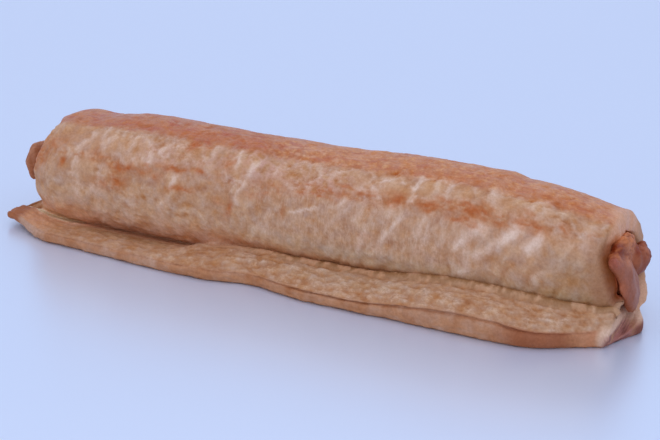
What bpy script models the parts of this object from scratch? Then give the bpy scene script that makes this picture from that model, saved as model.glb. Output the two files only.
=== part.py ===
"""A baked cheese pastry stick: one sheet of puff pastry folded round a log of cheese filling.

The sheet's two long edges are pressed together into a flange along the front of the stick, and both
ends are cut open, so that the browned filling shows there. X runs along the stick, the flange faces -Y,
and the stick lies on its flat underside at Z = 0, with the origin at the middle of its footprint.
"""

import math

import bpy
import numpy as np
from mathutils import Matrix, Vector, noise

# The roll. Its sizes are metres, as everywhere below; places along the stick are shares u of ROLL_LENGTH,
# 0 at the left end and 1 at the right end.
ROLL_LENGTH = 0.165
ROLL_HALF_WIDTH = 0.0157
ROLL_TOP = 0.0306
ROLL_SQUARENESS = 2.2
AXIS_HEIGHT = 0.0152
CAVITY_RADIUS = 0.0112
FOOT_ANGLE = math.radians(-60)

# The flange, measured from the roll's axis.
FLANGE_REACH = 0.0267
FLANGE_THICK = 0.0030
SEAM_HEIGHT = 0.0019
GROOVE_DEPTH = 0.0023
GROOVE_WIDTH = 0.0012
WEB_PLACE = 0.345
PINCH_PLACE = 0.460

# The two cut ends: how far each part stands out past the roll's length, and how the edges round over.
RIGHT_CURL = 0.0020
RIGHT_NOTCH = 0.0018
RIGHT_FLAP = 0.0047
LEFT_LIP = 0.0004
LEFT_TIP = 0.0042
EDGE_ROUND = 0.0009

# The filling.
FILLING_GAP = 0.0004
FILLING_SIDES = 26
LOBE_SEGMENTS = 16
LOBE_RINGS = 10

# How finely the pastry is divided: stations along it, and points round it by zone.
STATIONS = 84
ARC_POINTS = 25
TOP_POINTS = 6
RIM_POINTS = 5
BASE_POINTS = 6
CAVITY_STATIONS = 22

ARC = slice(0, ARC_POINTS)
FLOOR = slice(ARC.stop, ARC.stop + 1)
ROOT = slice(FLOOR.stop, FLOOR.stop + 1)
TOP = slice(ROOT.stop, ROOT.stop + TOP_POINTS)
RIM = slice(TOP.stop, TOP.stop + RIM_POINTS)
BASE = slice(RIM.stop, RIM.stop + BASE_POINTS)
AROUND = BASE.stop

ARC_SHARE = np.linspace(0, 1, ARC_POINTS)[None, :]
TOP_SHARE = np.linspace(0, 1, TOP_POINTS + 1)[None, 1:]
BASE_SHARE = np.linspace(0, 1, BASE_POINTS)[None, :]


# ---------------------------------------------------------------- small helpers


def smooth(start, end, value):
    """0 before start and 1 after end, with an even S between them."""
    t = np.clip((value - start) / (end - start), 0.0, 1.0)
    return t * t * (3 - 2 * t)


def hump(value, centre, width):
    """A bell of height 1 round a centre."""
    return np.exp(-(((value - centre) / width) ** 2))


def bump(angle, centre, width):
    """The same bell round a full turn. angle is in radians, centre and width in degrees."""
    return np.exp(2 * (np.cos(angle - math.radians(centre)) - 1) / math.radians(width) ** 2)


def rough(*columns):
    """Blender's gradient noise, about -1 to 1, at the points whose coordinates are given as arrays."""
    columns = np.broadcast_arrays(*columns)
    points = np.stack([c.ravel() for c in columns], axis=1)
    values = np.array([noise.noise(Vector(p)) for p in points])
    return values.reshape(columns[0].shape)


def millimetres(u):
    return u * ROLL_LENGTH * 1000


# ---------------------------------------------------------------- sizes along the stick


def roll_top(u):
    """Height of the roll's crest: it drops in a curve at the left end and more slowly towards the right."""
    swell = 0.0012 * hump(u, 0.72, 0.13) - 0.0020 * hump(u, 0.09, 0.058)
    flake_step = 0.0012 * smooth(0.795, 0.825, u)
    left_drop = 0.0072 * np.clip(1 - u / 0.068, 0, 1) ** 1.9
    right_drop = 0.0033 * smooth(0.86, 1.01, u)
    return ROLL_TOP + swell - flake_step - left_drop - right_drop


def roll_half_width(u):
    ends = 0.0026 * smooth(0.08, -0.01, u) + 0.0016 * smooth(0.90, 1.01, u)
    return ROLL_HALF_WIDTH + 0.0004 * np.sin(9.0 * u + 0.6) + 0.0009 * smooth(0.38, 0.24, u) - ends


def roll_centre(u):
    """(y, z) of the roll's axis, which wanders a little and dips at both ends."""
    dip = 0.0016 * smooth(0.10, 0.0, u) + 0.0014 * smooth(0.80, 1.0, u)
    return 0.0006 * np.sin(7.0 * u + 1.0), AXIS_HEIGHT - dip


def seam_height(u):
    """Height at which the roll's front meets the flange: low on the left, where the flange is one thin
    sheet, and high on the right, where its two layers have puffed up."""
    rise = 0.0042 * smooth(0.27, 0.40, u) + 0.0029 * smooth(0.58, 0.80, u)
    return SEAM_HEIGHT + rise - 0.0012 * smooth(0.84, 1.0, u)


def flange_thickness(u):
    puffed = 0.0003 * smooth(0.30, 0.45, u) + 0.0026 * smooth(0.62, 0.80, u)
    thin_right = 0.0010 * smooth(0.84, 0.90, u) + 0.0008 * hump(u, 0.95, 0.05)
    thin_left = 0.0008 * smooth(0.06, 0.0, u)
    return FLANGE_THICK + puffed - thin_right - thin_left


def flange_front(u):
    """y of the flange's front edge: both corners round back, and it is pinched beside the web."""
    corner_left = 0.0026 * smooth(0.34, 0.08, u) + 0.0070 * smooth(0.09, -0.03, u)
    corner_right = 0.0105 * smooth(0.88, 1.02, u)
    pinch = 0.0028 * hump(u, PINCH_PLACE, 0.055)
    ragged = 0.0005 * rough(u * 14.0, 3.1, 0.0) + 0.0003 * rough(u * 41.0, 7.7, 0.0)
    return -FLANGE_REACH + corner_left + corner_right + pinch + ragged


def groove_depth(u):
    """The groove between roll and flange closes at the web, where dough bridges it, and at the cut ends."""
    closed = 0.93 * hump(u, WEB_PLACE, 0.026) + 0.45 * hump(u, 0.41, 0.045)
    shallow = 0.35 * smooth(0.62, 0.78, u) + 0.35 * smooth(0.94, 0.99, u) + 0.8 * smooth(0.10, 0.01, u)
    return GROOVE_DEPTH * (1 - closed) * (1 - shallow)


def split_depth(u):
    """How far the line between the flange's two layers cuts into its edge."""
    return 0.00015 + 0.0007 * smooth(0.42, 0.56, u) * (1 - 0.8 * smooth(0.88, 0.95, u))


def tip_lift(u, y):
    """The flange's left corner curls up off the table."""
    return 0.0015 * smooth(0.075, -0.01, u) * smooth(-0.002, -0.012, y)


# ---------------------------------------------------------------- cross-section


def seam_angle(u):
    """Angle at which the roll's outside comes down to the flange."""
    _, centre_z = roll_centre(u)
    return math.pi + np.arcsin(np.clip((centre_z - seam_height(u)) / centre_z * 0.95, 0, 0.97))


def arc_angle(u, share):
    return FOOT_ANGLE + (seam_angle(u) - FOOT_ANGLE) * share


def roll_relief(u, angle):
    """How far the baked surface of the roll stands out: soft swellings and slanting wrinkles."""
    along = millimetres(u)
    around = angle * ROLL_HALF_WIDTH * 1000
    swelling = 0.00042 * rough(along / 17.0, around / 13.0, 4.0)
    wrinkle = 1 - np.abs(rough(along / 4.6 + around / 15.0, around / 11.0, 9.0)) * 3.0
    crest = smooth(math.radians(140), math.radians(95), angle) * smooth(0.0, math.radians(60), angle)
    ridge = 0.00035 * hump(angle, math.radians(128), 0.10) * (0.6 + rough(along / 21.0, 1.5, 2.0))
    return swelling + 0.00020 * np.maximum(wrinkle, -0.5) * (1 - 0.6 * crest) + ridge


def roll_point(u, angle):
    """(y, z) on the roll's outside, a slightly squared ellipse with its relief."""
    centre_y, centre_z = roll_centre(u)
    cos, sin = np.cos(angle), np.sin(angle)
    reach = (np.abs(cos) ** ROLL_SQUARENESS + np.abs(sin) ** ROLL_SQUARENESS) ** (-1 / ROLL_SQUARENESS)
    relief = roll_relief(u, angle) * smooth(FOOT_ANGLE, 0.0, angle)
    y = centre_y + (roll_half_width(u) * reach + relief) * cos
    rise = np.where(sin > 0, roll_top(u) - centre_z, centre_z + 0.0002)
    z = centre_z + (rise * reach + relief) * sin
    return y, z


def root_point(u):
    """(y, z) where the flange's top starts, on the outer lip of the groove."""
    seam_y, seam_z = roll_point(u, seam_angle(u))
    return seam_y - GROOVE_WIDTH, np.maximum(seam_z - 0.4 * GROOVE_WIDTH, 0.5 * flange_thickness(u))


def floor_point(u):
    """(y, z) at the bottom of the groove between roll and flange."""
    seam_y, seam_z = roll_point(u, seam_angle(u))
    depth = groove_depth(u)
    y = seam_y + 0.92 * depth - GROOVE_WIDTH / 2
    return y, np.maximum(seam_z - 0.42 * depth - GROOVE_WIDTH / 3, 0.0011)


def top_point(u, share):
    """(y, z) on the flange's upper face, from its root (share 0) to its front edge (share 1)."""
    root_y, root_z = root_point(u)
    y = root_y + (flange_front(u) + 0.0009 - root_y) * share
    puff = 0.0008 + 0.0005 * rough(millimetres(u) / 8.0, share * 2.0, 11.0)
    web = 0.0011 * hump(u, WEB_PLACE - 0.07 * share**1.5, 0.013) * (1 - 0.6 * share)
    z = root_z + (flange_thickness(u) - root_z) * share + puff * np.sin(math.pi * share) + web
    return y, z


def rim_point(u):
    """(y, z) of the flange's front edge, top to bottom, with the line between its two layers."""
    front, split, thick = flange_front(u), split_depth(u), flange_thickness(u)
    steps = [0.00025, 0.0001, 0.0, -0.0001, 0.0004]
    heights = [0.93, 0.85, 0.76, 0.42, 0.10]
    y = front + np.array(steps)
    y[:, 1] += split[:, 1]
    return y, thick * np.array(heights)


def base_point(u, share):
    """(y, z) of the flat underside, from the flange's front edge to the roll's back foot."""
    front = flange_front(u) + 0.0013
    foot_y, _ = roll_point(u, FOOT_ANGLE + 0 * u)
    return front + (foot_y - 0.0022 - front) * share, np.zeros_like(front)


def outline(u):
    """(y, z) of the pastry's outside. u has a row for each station and a column for each point round it."""
    zones = [
        roll_point(u[:, ARC], arc_angle(u[:, ARC], ARC_SHARE)),
        floor_point(u[:, FLOOR]),
        root_point(u[:, ROOT]),
        top_point(u[:, TOP], TOP_SHARE),
        rim_point(u[:, RIM]),
        base_point(u[:, BASE], BASE_SHARE),
    ]
    y = np.hstack([zone[0] for zone in zones])
    z = np.hstack([zone[1] for zone in zones])
    return y, z + tip_lift(u, y)


def loop_angle(u):
    """Angle round the cavity that pairs each of its points with one of the outline's."""
    start = seam_angle(u[:, ARC.stop :])
    rest = np.linspace(0, 1, AROUND - ARC.stop + 2)[None, 1:-1]
    under = start + (FOOT_ANGLE + 2 * math.pi - start) * rest
    return np.hstack([arc_angle(u[:, ARC], ARC_SHARE), under])


def cavity_radius(u):
    return CAVITY_RADIUS - 0.0022 * smooth(0.10, 0.0, u) - 0.0025 * smooth(0.86, 0.99, u)


def cavity_point(u, angle, grow=0.0):
    """(y, z) on the wall of the space that the filling runs through."""
    centre_y, centre_z = roll_centre(u)
    radius = cavity_radius(u) + grow
    return centre_y + radius * np.cos(angle), centre_z + radius * np.sin(angle)


# ---------------------------------------------------------------- the two ends


def right_rim(angle):
    """x of the roll's right mouth: its foot at the back stands out, and its crest and back are set back."""
    wobble = 0.0004 * rough(np.cos(angle) * 2.5, np.sin(angle) * 2.5, 8.0)
    foot = 0.0030 * bump(angle, -58, 30) + 0.0009 * bump(angle, 215, 30)
    set_back = 0.0021 * bump(angle, 65, 70) + 0.0007 * bump(angle, 140, 25)
    return ROLL_LENGTH / 2 - 0.0016 + foot - set_back + wobble


def left_rim(angle):
    """x of the roll's left rim, with a lip at the front and a set-back crest."""
    wobble = 0.0003 * rough(np.cos(angle) * 2.5, np.sin(angle) * 2.5, 5.0)
    lip = LEFT_LIP * bump(angle, 160, 26) - 0.0034 * bump(angle, 114, 32)
    return -ROLL_LENGTH / 2 + 0.0010 - lip + wobble


def end_places():
    """x of the left and of the right end, for each point of the outline: the roll's rims, and past them the
    ends of the flange and of the sheet under the roll."""
    angle = loop_angle(np.full((1, AROUND), 0.5))
    left = left_rim(angle)
    right = right_rim(angle) - RIGHT_CURL * bump(angle, 170, 28) - RIGHT_NOTCH * bump(angle, -52, 16)
    half = ROLL_LENGTH / 2
    left[:, FLOOR] = -half - 0.0004
    left[:, ROOT] = -half - 0.0018
    left[:, TOP] = -half - 0.0026 - (LEFT_TIP - 0.0028) * TOP_SHARE
    left[:, RIM] = -half - LEFT_TIP
    left[:, BASE] = -half - LEFT_TIP + 0.0030 * BASE_SHARE
    right[:, FLOOR] = half - 0.0006
    right[:, ROOT] = half + 0.0006
    right[:, TOP] = half + 0.0004 - 0.0003 * TOP_SHARE
    right[:, RIM] = half + 0.0001
    flap = smooth(-0.1, 0.70, BASE_SHARE) - smooth(0.62, 0.92, BASE_SHARE)
    right[:, BASE] = half - 0.0004 + RIGHT_FLAP * flap
    return left, right


def inset(y, z, distance):
    """A closed outline moved inwards by a distance, along its own normals."""
    step_y = np.roll(y, -1, axis=1) - np.roll(y, 1, axis=1)
    step_z = np.roll(z, -1, axis=1) - np.roll(z, 1, axis=1)
    length = np.hypot(step_y, step_z)
    return y - distance * step_z / length, z + distance * step_y / length


def ring(x, y, z):
    return np.stack(np.broadcast_arrays(x, y, z), axis=-1)


def share_of(x):
    return x / ROLL_LENGTH + 0.5


def end_rings(x_end, rim, outward):
    """Rings that round one end over, from the outside to the cavity's wall. outward is +1 or -1 along X."""
    y, z = outline(share_of(x_end))
    angle = loop_angle(share_of(x_end))
    x_rim = rim(angle)
    near_y, near_z = inset(y, z, 0.0005)
    thin = np.full((1, AROUND), 0.0008)
    thin[:, BASE] = 0.0008 + 0.0018 * smooth(0.1, 0.6, BASE_SHARE)
    far_y, far_z = inset(y, z, thin)

    # The flange and the sheet under the roll keep their own ends: only the roll's wall turns in.
    turn_in = np.full((1, AROUND), 0.5)
    turn_in[:, FLOOR] = 0.4
    turn_in[:, ROOT] = 0.3
    turn_in[:, TOP] = 0.12
    turn_in[:, RIM] = 0.08
    turn_in[:, BASE] = 0.08 + 0.42 * smooth(0.3, 0.7, BASE_SHARE)
    inner_y, inner_z = cavity_point(share_of(x_rim), angle, grow=0.0006)
    middle_y = far_y + (inner_y - far_y) * turn_in
    middle_z = far_z + (inner_z - far_z) * turn_in
    crag = 0.0003 * rough(middle_y * 600, middle_z * 600, 2.0)
    x_middle = x_end + (x_rim + outward * 0.0002 - x_end) * smooth(0.0, 0.5, turn_in)
    return [
        ring(x_end - outward * 0.0003, near_y, near_z),
        ring(x_end - outward * 0.0001, far_y, far_z),
        ring(x_middle + outward * crag, middle_y, middle_z),
        ring(x_rim - outward * 0.0005, inner_y, inner_z),
    ]


# ---------------------------------------------------------------- the pastry


def cavity_rings(angle, grow):
    """Rings along the cavity from its left mouth to its right one, closer together near the mouths."""
    share = (0.5 - 0.5 * np.cos(np.linspace(0, math.pi, CAVITY_STATIONS)))[:, None]
    x = (left_rim(angle) + 0.0016) * (1 - share) + (right_rim(angle) - 0.0016) * share
    return ring(x, *cavity_point(share_of(x), angle, grow))


def pastry_rings():
    """The rings of the surface in order: outside, over the right rim, back inside, over the left rim."""
    left, right = end_places()
    share = np.linspace(0, 1, STATIONS)[:, None]
    x = (left + EDGE_ROUND) * (1 - share) + (right - EDGE_ROUND) * share
    outside = ring(x, *outline(share_of(x)))
    cavity = cavity_rings(loop_angle(np.full((1, AROUND), 0.5)), 0.0)[::-1]
    over_right = end_rings(right, right_rim, 1)
    over_left = end_rings(left, left_rim, -1)[::-1]
    return np.concatenate([outside, *over_right, cavity, *over_left])


def closed_grid(name, rings):
    """A mesh whose rings are joined each to the next, and the last to the first."""
    count, around = rings.shape[:2]
    index = np.arange(count * around).reshape(count, around)
    ahead, beside = np.roll(index, -1, axis=0), np.roll(index, -1, axis=1)
    corner = np.roll(ahead, -1, axis=1)
    faces = np.stack([index, beside, corner, ahead], axis=-1).reshape(-1, 4)
    mesh = bpy.data.meshes.new(name)
    mesh.from_pydata(rings.reshape(-1, 3).tolist(), [], faces.tolist())
    return mesh


def make_pastry(collection):
    pastry = bpy.data.objects.new("pastry", closed_grid("pastry", pastry_rings()))
    collection.objects.link(pastry)
    return pastry


# ---------------------------------------------------------------- the filling


def filling_core():
    """The log of filling: rings along the cavity, closed by a low uneven dome at each end."""
    angle = np.linspace(0, 2 * math.pi, FILLING_SIDES, endpoint=False)[None, :]
    body = cavity_rings(angle, -FILLING_GAP)[1:-1]

    domes = {-1: [], 1: []}
    for scale, rise in ((0.86, 0.0008), (0.62, 0.0014), (0.32, 0.0017)):
        for outward, edge in ((-1, body[0]), (1, body[-1])):
            middle = edge.mean(axis=0)
            dome = middle + (edge - middle) * scale
            dome[:, 0] += outward * rise + 0.0006 * rough(dome[:, 1] * 300, dome[:, 2] * 300, 6.0 + outward)
            domes[outward].append(dome)
    rings = np.stack(domes[-1][::-1] + list(body) + domes[1])

    index = np.arange(len(rings) * FILLING_SIDES).reshape(len(rings), FILLING_SIDES)
    beside = np.roll(index, -1, axis=1)
    faces = np.stack([index[:-1], beside[:-1], beside[1:], index[1:]], axis=-1).reshape(-1, 4).tolist()
    faces += [index[0, ::-1].tolist(), index[-1].tolist()]
    mesh = bpy.data.meshes.new("filling")
    mesh.from_pydata(rings.reshape(-1, 3).tolist(), [], faces)
    return mesh


def keep_clear_of_rim(point, rim, outward):
    """A point of a lobe, drawn in to the opening unless it lies beyond the pastry's rim."""
    centre_y, centre_z = roll_centre(share_of(point.x))
    from_y, from_z = point.y - centre_y, point.z - centre_z
    beyond = outward * (point.x - float(rim(np.array([math.atan2(from_z, from_y)]))[0]))
    limit = cavity_radius(share_of(point.x)) - 0.0006 + 0.0040 * float(smooth(0.0, 0.0020, beyond))
    squeeze = min(1.0, limit / math.hypot(from_y, from_z))
    return Vector((point.x, centre_y + from_y * squeeze, centre_z + from_z * squeeze))


def add_lobe(name, collection, outward, offset, radii, turn, seed):
    """A lump of filling that has run out of an end and set: an uneven ellipsoid.

    offset is from the middle of the opening, with X outwards, and turn is degrees about X and then about Y.
    """
    rim = right_rim if outward > 0 else left_rim
    x_mouth = outward * ROLL_LENGTH / 2
    centre_y, centre_z = roll_centre(share_of(x_mouth))
    centre = Vector((x_mouth + outward * offset[0], centre_y + offset[1], centre_z + offset[2]))
    place = (
        Matrix.Translation(centre)
        @ Matrix.Rotation(math.radians(turn[1]), 4, "Y")
        @ Matrix.Rotation(math.radians(turn[0]), 4, "X")
    )
    bpy.ops.mesh.primitive_uv_sphere_add(segments=LOBE_SEGMENTS, ring_count=LOBE_RINGS, radius=1.0)
    lobe = bpy.context.object
    lobe.name = name
    for vertex in lobe.data.vertices:
        swell = 1 + 0.16 * noise.noise(vertex.co * 1.7 + Vector((seed, 0, 0)))
        vertex.co = keep_clear_of_rim(place @ (Vector(radii) * swell * vertex.co), rim, outward)
    for holder in lobe.users_collection:
        holder.objects.unlink(lobe)
    collection.objects.link(lobe)


def make_filling(collection):
    """The log with the lobes that have pushed out of its two ends, joined into one solid."""
    filling = bpy.data.objects.new("filling", filling_core())
    collection.objects.link(filling)
    lobes = bpy.data.collections.new("lobes")
    bpy.context.scene.collection.children.link(lobes)

    mm = 0.001
    shapes = (
        ("tongue", 1, (-1.3, -5.7, -1.3), (3.2, 5.6, 9.3), (36, -12)),
        ("knob", 1, (-1.2, 6.7, 0.6), (2.2, 2.9, 4.0), (8, 0)),
        ("brow", 1, (-3.2, -1.6, 4.6), (2.6, 6.4, 3.2), (6, 0)),
        ("shelf", 1, (-2.1, 3.4, 1.2), (2.4, 2.4, 5.8), (32, -8)),
        ("tail_lip", -1, (0.0, -6.8, 2.0), (3.5, 5.2, 5.4), (-14, 0)),
        ("tail_lump", -1, (0.0, 2.8, -2.4), (2.4, 4.2, 3.8), (-20, 0)),
    )
    for number, (name, outward, offset, radii, turn) in enumerate(shapes):
        add_lobe(name, lobes, outward, Vector(offset) * mm, Vector(radii) * mm, turn, seed=3.7 * number)

    union = filling.modifiers.new("join_lobes", "BOOLEAN")
    union.operation = "UNION"
    union.operand_type = "COLLECTION"
    union.collection = lobes
    bpy.context.view_layer.objects.active = filling
    bpy.ops.object.modifier_apply(modifier=union.name)
    for lobe in list(lobes.objects):
        bpy.data.objects.remove(lobe)
    bpy.data.collections.remove(lobes)
    return filling


# ---------------------------------------------------------------- finish


def finish(piece, colour, roughness):
    """Gives a piece its material and smooth shading."""
    material = bpy.data.materials.new(piece.name)
    material.use_nodes = True
    shader = material.node_tree.nodes["Principled BSDF"]
    shader.inputs["Base Color"].default_value = (*colour, 1.0)
    shader.inputs["Roughness"].default_value = roughness
    shader.inputs["Metallic"].default_value = 0.0
    piece.data.materials.clear()
    piece.data.materials.append(material)
    piece.data.shade_smooth()


def centre_on_footprint(pieces):
    """Moves the meshes so that the origin is at the middle of their common footprint."""
    corners = np.concatenate([[vertex.co for vertex in piece.data.vertices] for piece in pieces])
    low, high = corners.min(axis=0), corners.max(axis=0)
    shift = Vector((-(low[0] + high[0]) / 2, -(low[1] + high[1]) / 2, -low[2]))
    for piece in pieces:
        piece.data.transform(Matrix.Translation(shift))


def main():
    for obj in list(bpy.data.objects):
        bpy.data.objects.remove(obj)
    collection = bpy.data.collections.new("cheese_pastry")
    bpy.context.scene.collection.children.link(collection)

    pastry = make_pastry(collection)
    filling = make_filling(collection)
    centre_on_footprint([pastry, filling])
    finish(pastry, (0.62, 0.40, 0.20), 0.5)
    finish(filling, (0.25, 0.10, 0.05), 0.55)


main()
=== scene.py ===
"""Looks of the cheese pastry: the baked, flaky sheet and the browned filling at its two cut ends.

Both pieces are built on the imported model's own shapes. The pastry's surface goes through the same
stations and points as the CAD solid, divided more finely, and carries the crust's relief; its colours
are worked out point by point from the place on the roll or flange and stored on the mesh.
"""

import math

import bpy
import numpy as np
from mathutils import Matrix, Vector, noise


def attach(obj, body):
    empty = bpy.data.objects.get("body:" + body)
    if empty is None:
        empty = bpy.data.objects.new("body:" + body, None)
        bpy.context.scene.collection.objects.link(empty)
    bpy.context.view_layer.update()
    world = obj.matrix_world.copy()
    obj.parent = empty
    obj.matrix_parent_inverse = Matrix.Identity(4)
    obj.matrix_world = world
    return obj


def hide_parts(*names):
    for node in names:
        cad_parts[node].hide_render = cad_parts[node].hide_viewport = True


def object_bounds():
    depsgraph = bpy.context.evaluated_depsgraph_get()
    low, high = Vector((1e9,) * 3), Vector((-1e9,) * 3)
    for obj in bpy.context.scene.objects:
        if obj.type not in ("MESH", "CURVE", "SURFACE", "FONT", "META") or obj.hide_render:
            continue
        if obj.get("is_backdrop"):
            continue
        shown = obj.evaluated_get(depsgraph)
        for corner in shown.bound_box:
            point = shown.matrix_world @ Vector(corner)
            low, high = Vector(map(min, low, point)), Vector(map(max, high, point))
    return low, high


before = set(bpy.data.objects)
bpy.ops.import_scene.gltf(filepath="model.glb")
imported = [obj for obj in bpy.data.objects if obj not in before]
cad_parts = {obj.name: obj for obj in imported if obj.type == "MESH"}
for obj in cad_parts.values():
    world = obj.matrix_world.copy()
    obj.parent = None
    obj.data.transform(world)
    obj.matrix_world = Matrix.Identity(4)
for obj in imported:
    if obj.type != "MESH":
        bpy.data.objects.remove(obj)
CAD_LOW, CAD_HIGH = (np.array(corner, float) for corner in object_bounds())

# -------- sizes of the CAD solid, in metres

ROLL_LENGTH = 0.165
ROLL_HALF_WIDTH = 0.0157
ROLL_TOP = 0.0306
ROLL_SQUARENESS = 2.2
AXIS_HEIGHT = 0.0152
CAVITY_RADIUS = 0.0112
FOOT_ANGLE = math.radians(-60)
FLANGE_REACH = 0.0267
FLANGE_THICK = 0.0030
SEAM_HEIGHT = 0.0019
GROOVE_DEPTH = 0.0023
GROOVE_WIDTH = 0.0012
WEB_PLACE = 0.345
PINCH_PLACE = 0.460
RIGHT_CURL = 0.0020
RIGHT_NOTCH = 0.0018
RIGHT_FLAP = 0.0047
LEFT_LIP = 0.0004
LEFT_TIP = 0.0042
EDGE_ROUND = 0.0009
STATIONS = 84
ARC_POINTS = 25
TOP_POINTS = 6
RIM_POINTS = 5
BASE_POINTS = 6
CAVITY_STATIONS = 22
END_RINGS = 4

ARC = slice(0, ARC_POINTS)
FLOOR = slice(ARC.stop, ARC.stop + 1)
ROOT = slice(FLOOR.stop, FLOOR.stop + 1)
TOP = slice(ROOT.stop, ROOT.stop + TOP_POINTS)
RIM = slice(TOP.stop, TOP.stop + RIM_POINTS)
BASE = slice(RIM.stop, RIM.stop + BASE_POINTS)
AROUND = BASE.stop
ARC_SHARE = np.linspace(0, 1, ARC_POINTS)[None, :]
TOP_SHARE = np.linspace(0, 1, TOP_POINTS + 1)[None, 1:]
BASE_SHARE = np.linspace(0, 1, BASE_POINTS)[None, :]


# -------- small helpers


def smooth(start, end, value):
    """0 before start and 1 after end, with an even S between them."""
    t = np.clip((value - start) / (end - start), 0.0, 1.0)
    return t * t * (3 - 2 * t)


def band(value, start, full, fade, end):
    """0 outside start to end, and 1 from full to fade."""
    return smooth(start, full, value) * smooth(end, fade, value)


def hump(value, centre, width):
    return np.exp(-(((value - centre) / width) ** 2))


def bump(angle, centre, width):
    """A bell round a full turn. angle is in radians, centre and width in degrees."""
    return np.exp(2 * (np.cos(angle - math.radians(centre)) - 1) / math.radians(width) ** 2)


def rough(*columns):
    """The CAD solid's own gradient noise, at the points whose coordinates are given as arrays."""
    columns = np.broadcast_arrays(*columns)
    points = np.stack([c.ravel() for c in columns], axis=1)
    values = np.array([noise.noise(Vector(p)) for p in points])
    return values.reshape(columns[0].shape)


GRADIENTS = np.array(
    [(x, y, z) for x in (-1, 0, 1) for y in (-1, 0, 1) for z in (-1, 0, 1) if abs(x) + abs(y) + abs(z) == 2],
    float,
)
CELL_FACTORS = (374761393, 668265263, 2147483647)
SEED_FACTOR = 1274126177
HASH_ROUNDS = ((13, 1103515245), (11, 69069))
HASH_LIMIT = 0x7FFFFFFF
GRAIN_HEIGHT = 1.5


def grain(x, y, z, seed=0):
    """Gradient noise, about -1 to 1, on whole arrays at once."""
    x, y, z = np.broadcast_arrays(np.asarray(x, float), np.asarray(y, float), np.asarray(z, float))
    cell = [np.floor(c).astype(np.int64) for c in (x, y, z)]
    part = [c - k for c, k in zip((x, y, z), cell)]
    fade = [p * p * p * (p * (p * 6 - 15) + 10) for p in part]
    total = np.zeros(x.shape)
    for corner in range(8):
        step = [corner & 1, corner >> 1 & 1, corner >> 2 & 1]
        mixed = seed * SEED_FACTOR + sum((cell[k] + step[k]) * CELL_FACTORS[k] for k in range(3))
        for bits, factor in HASH_ROUNDS:
            mixed = (mixed ^ (mixed >> bits)) * factor & HASH_LIMIT
        way = GRADIENTS[(mixed >> 8) % len(GRADIENTS)]
        dot = sum(way[..., k] * (part[k] - step[k]) for k in range(3))
        weight = np.ones(x.shape)
        for k in range(3):
            weight = weight * (fade[k] if step[k] else 1 - fade[k])
        total = total + dot * weight
    return total * GRAIN_HEIGHT


def layered(x, y, z, seed=0, octaves=3):
    """The same noise with finer and weaker copies added."""
    total, scale, share = 0.0, 1.0, 1.0
    for octave in range(octaves):
        total = total + share * grain(x * scale, y * scale, z * scale, seed + 17 * octave)
        scale, share = scale * 2.03, share * 0.5
    return total


# -------- shape of the CAD solid
# These functions follow the part's source, so that the surface goes through the solid's own corners.


def millimetres(u):
    return u * ROLL_LENGTH * 1000


def roll_top(u):
    swell = 0.0012 * hump(u, 0.72, 0.13) - 0.0020 * hump(u, 0.09, 0.058)
    flake_step = 0.0012 * smooth(0.795, 0.825, u)
    left_drop = 0.0072 * np.clip(1 - u / 0.068, 0, 1) ** 1.9
    right_drop = 0.0033 * smooth(0.86, 1.01, u)
    return ROLL_TOP + swell - flake_step - left_drop - right_drop


def roll_half_width(u):
    ends = 0.0026 * smooth(0.08, -0.01, u) + 0.0016 * smooth(0.90, 1.01, u)
    return ROLL_HALF_WIDTH + 0.0004 * np.sin(9.0 * u + 0.6) + 0.0009 * smooth(0.38, 0.24, u) - ends


def roll_centre(u):
    dip = 0.0016 * smooth(0.10, 0.0, u) + 0.0014 * smooth(0.80, 1.0, u)
    return 0.0006 * np.sin(7.0 * u + 1.0), AXIS_HEIGHT - dip


def seam_height(u):
    rise = 0.0042 * smooth(0.27, 0.40, u) + 0.0029 * smooth(0.58, 0.80, u)
    return SEAM_HEIGHT + rise - 0.0012 * smooth(0.84, 1.0, u)


def flange_thickness(u):
    puffed = 0.0003 * smooth(0.30, 0.45, u) + 0.0026 * smooth(0.62, 0.80, u)
    thin_right = 0.0010 * smooth(0.84, 0.90, u) + 0.0008 * hump(u, 0.95, 0.05)
    thin_left = 0.0008 * smooth(0.06, 0.0, u)
    return FLANGE_THICK + puffed - thin_right - thin_left


def flange_front(u):
    corner_left = 0.0026 * smooth(0.34, 0.08, u) + 0.0070 * smooth(0.09, -0.03, u)
    corner_right = 0.0105 * smooth(0.88, 1.02, u)
    pinch = 0.0028 * hump(u, PINCH_PLACE, 0.055)
    ragged = 0.0005 * rough(u * 14.0, 3.1, 0.0) + 0.0003 * rough(u * 41.0, 7.7, 0.0)
    return -FLANGE_REACH + corner_left + corner_right + pinch + ragged


def groove_depth(u):
    closed = 0.93 * hump(u, WEB_PLACE, 0.026) + 0.45 * hump(u, 0.41, 0.045)
    shallow = 0.35 * smooth(0.62, 0.78, u) + 0.35 * smooth(0.94, 0.99, u) + 0.8 * smooth(0.10, 0.01, u)
    return GROOVE_DEPTH * (1 - closed) * (1 - shallow)


def split_depth(u):
    return 0.00015 + 0.0007 * smooth(0.42, 0.56, u) * (1 - 0.8 * smooth(0.88, 0.95, u))


def tip_lift(u, y):
    return 0.0015 * smooth(0.075, -0.01, u) * smooth(-0.002, -0.012, y)


def seam_angle(u):
    _, centre_z = roll_centre(u)
    return math.pi + np.arcsin(np.clip((centre_z - seam_height(u)) / centre_z * 0.95, 0, 0.97))


def arc_angle(u, share):
    return FOOT_ANGLE + (seam_angle(u) - FOOT_ANGLE) * share


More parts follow.
